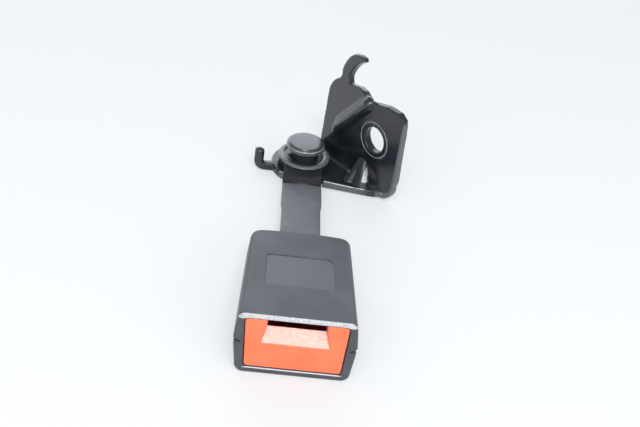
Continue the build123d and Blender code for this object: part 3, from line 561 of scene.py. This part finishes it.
def standFor(piece, node, body=None):
    # the piece takes the node's place, finish and slot, and moves with its body
    piece.data.materials.append(finishes[dressed[node]])
    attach(piece, body or bodyOf[node])
    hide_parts(node)
    return piece


mergeWithin = 1e-6      # metres


def mergedCopy(node):
    # the solid's loose triangles, joined where their corners meet
    shape = bmesh.new()
    shape.from_mesh(frame["nodes"][node].data)
    bmesh.ops.remove_doubles(shape, verts=shape.verts, dist=mergeWithin)
    return shape


def asMesh(shape, name):
    mesh = bpy.data.meshes.new(name)
    shape.to_mesh(mesh)
    shape.free()
    return mesh


# solids whose sharp edges are rounded; radius in millimetres, sharp in degrees
edgeRounds = {
    "spring_washer": {"radius": 0.2, "steps": 3, "sharp": 22.0},
    "upper_cover": {"radius": 0.12, "steps": 2, "sharp": 28.0},
    "lower_cover": {"radius": 0.12, "steps": 2, "sharp": 28.0},
    "buckle_frame": {"radius": 0.25, "steps": 2, "sharp": 34.0},
    "ejector": {"radius": 0.3, "steps": 2, "sharp": 34.0},
}
flatWithin = math.radians(0.05)     # faces that lie so near one plane become one face


def roundEdges(node, look):
    # flat faces joined, then each sharp edge rounded
    shape = mergedCopy(node)
    bmesh.ops.dissolve_limit(shape, angle_limit=flatWithin, verts=shape.verts, edges=shape.edges)
    mesh = asMesh(shape, node + "Rounded")
    piece = addPiece(node + "_rounded", mesh)
    mesh.set_sharp_from_angle(angle=math.radians(look["sharp"]))
    edge = piece.modifiers.new("edge", "BEVEL")
    edge.width = look["radius"] / 1000.0
    edge.segments = look["steps"]
    edge.limit_method = "ANGLE"
    edge.angle_limit = math.radians(look["sharp"])
    edge.use_clamp_overlap = False
    even = piece.modifiers.new("even", "WEIGHTED_NORMAL")
    even.keep_sharp = True
    standFor(piece, node)


for node, look in edgeRounds.items():
    roundEdges(node, look)
print("edges rounded:", len(edgeRounds))


def closeGrid(name, grid, poles=None):
    # rows of points that each close on themselves; the rows end in two fans, or close in a ring
    rows, around = grid.shape[:2]
    places = grid.reshape(-1, 3) / 1000.0
    i, j = np.meshgrid(np.arange(rows - 1 if poles else rows), np.arange(around), indexing="ij")
    k, below = (j + 1) % around, (i + 1) % rows
    quads = np.stack([i * around + j, i * around + k, below * around + k, below * around + j], axis=-1)
    faces = quads.reshape(-1, 4).tolist()
    if poles:
        places = np.vstack([places, np.array(poles) / 1000.0])
        ring = np.arange(around)
        following = (ring + 1) % around
        last = (rows - 1) * around
        firstPole, lastPole = (np.full(around, rows * around + n) for n in range(2))
        faces += np.stack([firstPole, following, ring], axis=-1).tolist()
        faces += np.stack([lastPole, last + ring, last + following], axis=-1).tolist()
    mesh = bpy.data.meshes.new(name)
    mesh.from_pydata(places.tolist(), [], faces)
    shape = bmesh.new()
    shape.from_mesh(mesh)
    bmesh.ops.recalc_face_normals(shape, faces=shape.faces)
    shape.to_mesh(mesh)
    shape.free()
    return mesh


# rivet, turned on the pivot axis: corners of its outline as (radius, height) in millimetres
pivotRivet = {
    "outline": (
        (0.0, 0.0), (6.9, 0.0), (8.4, 0.6), (5.0, 0.6), (5.0, 12.9), (8.5, 12.9), (9.4, 13.7),
        (9.4, 15.0), (8.9, 15.7), (8.3, 15.8), (7.9, 16.3), (0.0, 16.3),
    ),
    "corner": 0.3, "steps": 6, "around": 144,
}


def easeCorners(look):
    # each corner b between a and c, both "corner" away from it, becomes the curve
    # (1-t)^2 a + 2 t (1-t) b + t^2 c
    points = np.array(look["outline"], float)
    before, at, after = points[:-2], points[1:-1], points[2:]

    def towards(other):
        step = other - at
        length = np.linalg.norm(step, axis=1, keepdims=True)
        return at + step * np.minimum(look["corner"] / length, 0.45)     # a short side keeps a tenth

    first, last = towards(before)[:, None], towards(after)[:, None]
    t = np.linspace(0.0, 1.0, look["steps"])[None, :, None]
    curve = (1 - t) ** 2 * first + 2 * t * (1 - t) * at[:, None] + t ** 2 * last
    return np.vstack([points[:1], curve.reshape(-1, 2), points[-1:]])


def turnOutline(name, outline, around):
    # x = r cos a, y = r sin a, z as the outline gives it
    angle = np.linspace(0.0, 2 * math.pi, around, endpoint=False)
    radius, height = outline[1:-1, :1], outline[1:-1, 1:]
    grid = np.stack([radius * np.cos(angle), radius * np.sin(angle), height + 0 * angle], axis=-1)
    return closeGrid(name, grid, [(0.0, 0.0, outline[0, 1]), (0.0, 0.0, outline[-1, 1])])


rivetMesh = turnOutline("pivot_rivetTurned", easeCorners(pivotRivet), pivotRivet["around"])
standFor(addPiece("pivot_rivet_turned", rivetMesh), "pivot_rivet")
print("rivet turned")


def smoothPath(points, count):
    # Catmull-Rom through the points p0 to p3 about each gap: half of
    # 2 p1 + (p2 - p0) t + (2 p0 - 5 p1 + 4 p2 - p3) t^2 + (3 p1 - p0 - 3 p2 + p3) t^3
    points = np.array(points, float)
    padded = np.vstack([2 * points[0] - points[1], points, 2 * points[-1] - points[-2]])
    place = np.linspace(0.0, len(points) - 1 - 1e-6, count)     # stops just short of the last point
    i = place.astype(int)
    t = (place - i)[:, None]
    p0, p1, p2, p3 = (padded[i + n] for n in range(4))
    square, cube = 2 * p0 - 5 * p1 + 4 * p2 - p3, 3 * p1 - p0 - 3 * p2 + p3
    return 0.5 * (2 * p1 + (p2 - p0) * t + square * t ** 2 + cube * t ** 3)


def rodAlong(name, path, across, look, count=48, around=28):
    # oval rod: centre(t) + wide(t) cos v * side + deep(t) sin v * across, its ends domed by
    # shrinking the oval as sqrt(1 - x^2) over the last radius, with x under 0.98 so that no row
    # of points shrinks to one
    wide, deep = look["wide"], look["deep"]
    centre = smoothPath(path, count)
    tangent = np.gradient(centre, axis=0)
    tangent /= np.linalg.norm(tangent, axis=1, keepdims=True)
    side = np.cross(tangent, across)
    run = np.concatenate([[0.0], np.cumsum(np.linalg.norm(np.diff(centre, axis=0), axis=1))])
    knots = np.linspace(0.0, 1.0, len(wide))
    share = np.linspace(0.0, 1.0, count)
    end = np.minimum(run, run[-1] - run) / wide[0]
    dome = np.sqrt(1 - np.clip(1 - end, 0.0, 0.98) ** 2)
    w, d = (np.interp(share, knots, values) * dome for values in (wide, deep))
    v = np.linspace(0.0, 2 * math.pi, around, endpoint=False)[None, :, None]
    sideways = w[:, None, None] * np.cos(v) * side[:, None]
    grid = centre[:, None] + sideways + d[:, None, None] * np.sin(v) * across
    return closeGrid(name, grid, [centre[0], centre[-1]])


# hook: its path along and up from the hole, on the wing; half widths in the sheet and through it
hookLook = {
    "path": ((-33.6, 18.5), (-32.6, 22.5), (-30.4, 26.9), (-26.8, 29.95), (-23.2, 31.0), (-21.4, 30.8)),
    "wide": (1.7, 2.0, 2.2, 2.3, 2.3, 2.1), "deep": (1.75, 1.8, 1.8, 1.8, 1.8, 1.7),
}


def hookRod(look):
    # an oval rod in the middle of the wing's sheet
    plane = wingFrame()
    path = [placeOn(plane, u, w, -bracketPlan["gauge"] / 2) for u, w in look["path"]]
    return rodAlong("hookRod", path, plane["facing"], look)


# finger: its path as (x, z) at one y
fingerLook = {
    "path": ((-14.5, 2.45), (-18.3, 2.5), (-21.0, 3.2), (-21.9, 5.2), (-21.9, 8.6), (-21.9, 12.3)),
    "middle": -3.95,
    "wide": (1.7, 1.8, 2.1, 2.35, 2.35, 2.3), "deep": (1.95, 2.0, 2.2, 2.3, 2.3, 2.2),
}


def fingerRod(look):
    # an oval rod in the finger's sheet, out from the base and up
    path = [(x, look["middle"], z) for x, z in look["path"]]
    return rodAlong("fingerRod", path, np.array([0.0, 1.0, 0.0]), look)


# toe: a round corner between the base's tip and the flange, along and up from the hole
toeLook = {
    "along": 8.0, "up": -19.6, "radius": 8.6, "start": 225.0, "end": 362.0, "steps": 24,
    "clear": 0.7,               # its lowest point over the floor
}


def roundToe(look):
    # a plate between two outlines: centre + r (cos a, sin a) over an arc, closed at the centre
    plane = flangeFrame()
    a = np.radians(np.linspace(look["start"], look["end"], look["steps"]))
    u = np.append(look["along"] + look["radius"] * np.cos(a), look["along"])
    w = np.append(look["up"] + look["radius"] * np.sin(a), look["up"])
    w = np.maximum(w, look["clear"] - bracketPlan["height"])
    outer = placeOn(plane, u[:, None], w[:, None])
    through = plane["facing"] * bracketPlan["gauge"]
    middle = outer.mean(axis=0)
    return closeGrid("toe", np.stack([outer - through, outer]), [middle - through, middle])


# bead: its path along and up from the hole, beside the wing's bend; sink is behind the flange's face
beadLook = {
    "path": ((-27.6, -7.6), (-22.4, -1.1), (-17.0, 5.6), (-11.8, 12.2), (-6.6, 18.4)), "sink": 0.9,
    "wide": (3.5, 3.6, 3.6, 3.5, 2.7), "deep": (2.2, 2.5, 2.5, 2.5, 2.3),
}


def beadRod(look):
    # an oval rod whose middle lies behind the flange's face
    plane = flangeFrame()
    path = [placeOn(plane, u, w, -look["sink"]) for u, w in look["path"]]
    return rodAlong("beadRod", path, plane["facing"], look)


# dart: its path along and up from the hole, and out of the flange
dartLook = {
    "path": ((-4.2, -14.2, -0.2), (-3.4, -18.5, 1.3), (-2.5, -22.8, 2.8), (-1.6, -27.0, 4.2)),
    "wide": (0.8, 2.8, 4.7, 6.3), "deep": (0.8, 1.9, 2.8, 3.4),
}


def dartRod(look):
    # half a cone in the fold, from a point on the flange down into the base
    plane = flangeFrame()
    path = [placeOn(plane, *place) for place in look["path"]]
    run = (path[-1] - path[0]) / np.linalg.norm(path[-1] - path[0])
    return rodAlong("dartRod", path, np.cross(plane["along"], run), look)


# pieces made one skin: how fine it is, in millimetres, and how often each point is eased
skins = {
    "anchor_bracket": {"skin": 0.36, "rounds": 9},
    "stay_arm": {"skin": 0.34, "rounds": 12},
    "release_button": {"skin": 0.3, "rounds": 4},
}


def easeSkin(node, extras=()):
    # a merged copy and its additions, remeshed to one skin, then each point drawn halfway to the
    # mean of its neighbours a few times, which rounds the edges and blends the joints
    look = skins[node]
    shape = mergedCopy(node)
    for extra in extras:
        shape.from_mesh(extra)
    rough = bpy.data.objects.new(node + "Rough", asMesh(shape, node + "Rough"))
    scene.collection.objects.link(rough)
    skin = rough.modifiers.new("skin", "REMESH")
    skin.mode = "VOXEL"
    skin.voxel_size = look["skin"] / 1000.0
    ease = rough.modifiers.new("ease", "SMOOTH")
    ease.factor = 0.5
    ease.iterations = look["rounds"]
    bpy.context.view_layer.update()
    done = bpy.data.meshes.new_from_object(rough.evaluated_get(bpy.context.evaluated_depsgraph_get()))
    bpy.data.objects.remove(rough)
    done.name = node + "Pressed"
    print("skin eased:", node, len(done.polygons), "faces")
    standFor(addPiece(node + "_pressed", done), node)


bracketForms = [
    hookRod(hookLook), fingerRod(fingerLook), roundToe(toeLook), beadRod(beadLook), dartRod(dartLook),
]
easeSkin("anchor_bracket", bracketForms)
easeSkin("stay_arm")
easeSkin("release_button")


# coined ring: radius of the ring and of its wire, and how far the wire's middle stands out of the flange
ringLook = {"radius": 8.9, "thick": 0.28, "out": 0.4, "around": 96, "aroundWire": 14}


def coinedRing(look):
    # centre + (R + r cos v) (cos a, sin a) + (r sin v + out) out of the flange
    plane = flangeFrame()
    a = np.linspace(0.0, 2 * math.pi, look["around"], endpoint=False)[:, None, None]
    v = np.linspace(0.0, 2 * math.pi, look["aroundWire"], endpoint=False)[None, :, None]
    reach = look["radius"] + look["thick"] * np.cos(v)
    out = look["thick"] * np.sin(v) + look["out"]
    outward = np.cos(a) * plane["along"] + np.sin(a) * plane["up"]
    return closeGrid("coinedRing", plane["centre"] + reach * outward + out * plane["facing"])


rim = addPiece("coined_ring", coinedRing(ringLook))
# the ring's paler finish is a painted highlight
rim.data.materials.append(finishes["rubbedRim"])
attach(rim, bodyOf["anchor_bracket"])
print("coined ring made")


# coil springs: foot and head as (x, behind the mouth, over the frame plate) in millimetres
coils = {
    "button_spring_left": {
        "foot": (-17.7, 50.0, -9.95), "head": (-17.7, 31.0, -9.95), "radius": 1.6, "wire": 0.7,
        "turns": 9, "joint": "button_press", "travel": 5.5,
    },
    "button_spring_right": {
        "foot": (17.7, 50.0, -9.95), "head": (17.7, 31.0, -9.95), "radius": 1.6, "wire": 0.7,
        "turns": 9, "joint": "button_press", "travel": 5.5,
    },
    "ejector_spring": {
        "foot": (0.0, 52.0, -5.0), "head": (0.0, 33.0, -5.0), "radius": 2.0, "wire": 0.6,
        "turns": 10, "joint": "ejector_slide", "travel": 8.0,
    },
    "latch_spring": {
        "foot": (0.0, 42.0, -14.45), "head": (0.0, 42.0, -9.3), "radius": 2.4, "wire": 0.7,
        "turns": 4, "joint": "latch_turn", "travel": 0.9,
    },
}


def windCoil(name, look, alongTurn=28, aroundWire=12):
    # wire centre: foot + R (cos a, sin a) + climb(a), where climb is one wire thick for the
    # first and the last turn, so that the ends close, and even between them
    foot, head = (onBuckle(*look[end]) * 1000.0 for end in ("foot", "head"))
    length = np.linalg.norm(head - foot)
    axis = (head - foot) / length
    across = np.array([1.0, 0.0, 0.0])
    third = np.cross(axis, across)
    wire, turns = look["wire"], look["turns"]
    turn = np.linspace(0.0, turns, turns * alongTurn + 1)
    heights = [0, wire, length - 2 * wire, length - wire]
    climb = wire / 2 + np.interp(turn, [0, 1, turns - 1, turns], heights)
    angle = 2 * math.pi * turn
    outward = np.cos(angle)[:, None] * across + np.sin(angle)[:, None] * third
    centre = foot + outward * (look["radius"] - wire / 2) + climb[:, None] * axis
    tangent = np.gradient(centre, axis=0)
    tangent /= np.linalg.norm(tangent, axis=1, keepdims=True)
    over = np.cross(tangent, outward)
    v = np.linspace(0.0, 2 * math.pi, aroundWire, endpoint=False)[None, :, None]
    grid = centre[:, None] + wire / 2 * (np.cos(v) * outward[:, None] + np.sin(v) * over[:, None])
    return closeGrid(name, grid, [centre[0], centre[-1]]), axis, foot / 1000.0, length


for node, look in coils.items():
    mesh, axis, foot, length = windCoil(node + "Coil", look)
    piece = standFor(addPiece(node + "_coil", mesh), node, "buckle")
    1.0 - look["travel"] / length
    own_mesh(piece)
print("springs wound:", len(coils))


# floor: paper, lifted where the camera, a mirror or a clear piece sees it by a glow that runs from
# a near to a far tone
floorLook = {
    "half": 3.0, "colour": (0.88, 0.893, 0.905), "rough": 0.9, "shine": 0.1,
    "fibre": (1.5, 3.0, 0.6), "fibreDepth": 0.02,
    "near": (0.98, 0.985, 0.99), "far": (0.8, 0.825, 0.85), "fade": (-350.0, 450.0), "lift": 0.45,
}


def layFloor(look):
    half = look["half"]
    mesh = bpy.data.meshes.new("floor")
    corners = [(-half, -half, 0), (half, -half, 0), (half, half, 0), (-half, half, 0)]
    mesh.from_pydata(corners, [], [(0, 1, 2, 3)])
    floor = bpy.data.objects.new("floor", mesh)
    scene.collection.objects.link(floor)
    finish = Finish("floorPaper")
    paper = finish.put("ShaderNodeBsdfPrincipled", {}, {
        "Base Color": (*look["colour"], 1.0), "Roughness": look["rough"],
        "Specular IOR Level": look["shine"],
        "Normal": finish.bump(finish.noise(*look["fibre"]), look["fibreDepth"]),
    })
    seen = finish.mix(finish.along((0.0, 1.0, 0.0)).over(*look["fade"]), look["near"], look["far"])
    glow = finish.put("ShaderNodeEmission", {}, {"Color": seen, "Strength": 1.0})
    kinds = ("Is Camera Ray", "Is Glossy Ray", "Is Transmission Ray")
    camera, glossy, through = (finish.put("ShaderNodeLightPath", out=kind) for kind in kinds)
    share = camera.most(glossy).most(through) * look["lift"]
    both = finish.put("ShaderNodeMixShader", {}, [share, paper, glow])
    finish.put("ShaderNodeOutputMaterial", {}, {"Surface": both})
    mesh.materials.append(finish.material)


# lamps: flat panels aimed at one point, places and sizes in metres
lampAim = (0.0, -0.05, 0.0)
lamps = {
    "backPanel": {
        "place": (-0.1, 1.25, 0.56), "size": (2.2, 1.0), "radiance": 1.8, "colour": (0.86, 0.94, 1.0),
    },
    "frontLamp": {
        "place": (0.04, -0.78, 0.98), "size": (0.6, 0.26), "radiance": 12.5, "colour": (1.0, 0.985, 0.96),
    },
    "frontRight": {
        "place": (0.85, -0.95, 0.5), "size": (0.9, 0.7), "radiance": 1.8, "colour": (0.97, 0.99, 1.0),
    },
    "frontFill": {
        "place": (-0.5, -1.3, 0.7), "size": (1.5, 1.0), "radiance": 1.5, "colour": (1.0, 0.99, 0.97),
    },
}


def hangLamps(looks):
    # a lamp's energy is radiance * pi * its area
    target = Vector(lampAim)
    for name, look in looks.items():
        data = bpy.data.lights.new(name, "AREA")
        data.shape = "RECTANGLE"
        data.size, data.size_y = look["size"]
        data.energy = look["radiance"] * math.pi * look["size"][0] * look["size"][1]
        data.color = look["colour"]
        lamp = bpy.data.objects.new(name, data)
        scene.collection.objects.link(lamp)
        lamp.location = look["place"]
        lamp.rotation_euler = (target - Vector(look["place"])).to_track_quat("-Z", "Y").to_euler()


skyLook = {"colour": (0.9, 0.95, 1.0), "strength": 0.5, "seen": 0.85}    # seen: by the camera alone


def paintSky(look):
    world = bpy.data.worlds.new("sky")
    world.use_nodes = True
    tree = world.node_tree
    sky = tree.nodes["Background"]
    sky.inputs["Color"].default_value = (*look["colour"], 1.0)
    ray = tree.nodes.new("ShaderNodeLightPath")
    level = tree.nodes.new("ShaderNodeMapRange")
    level.inputs["To Min"].default_value = look["strength"]
    level.inputs["To Max"].default_value = look["seen"]
    tree.links.new(ray.outputs["Is Camera Ray"], level.inputs["Value"])
    tree.links.new(level.outputs["Result"], sky.inputs["Strength"])
    scene.world = world


layFloor(floorLook)
hangLamps(lamps)
paintSky(skyLook)
print("floor and light set")
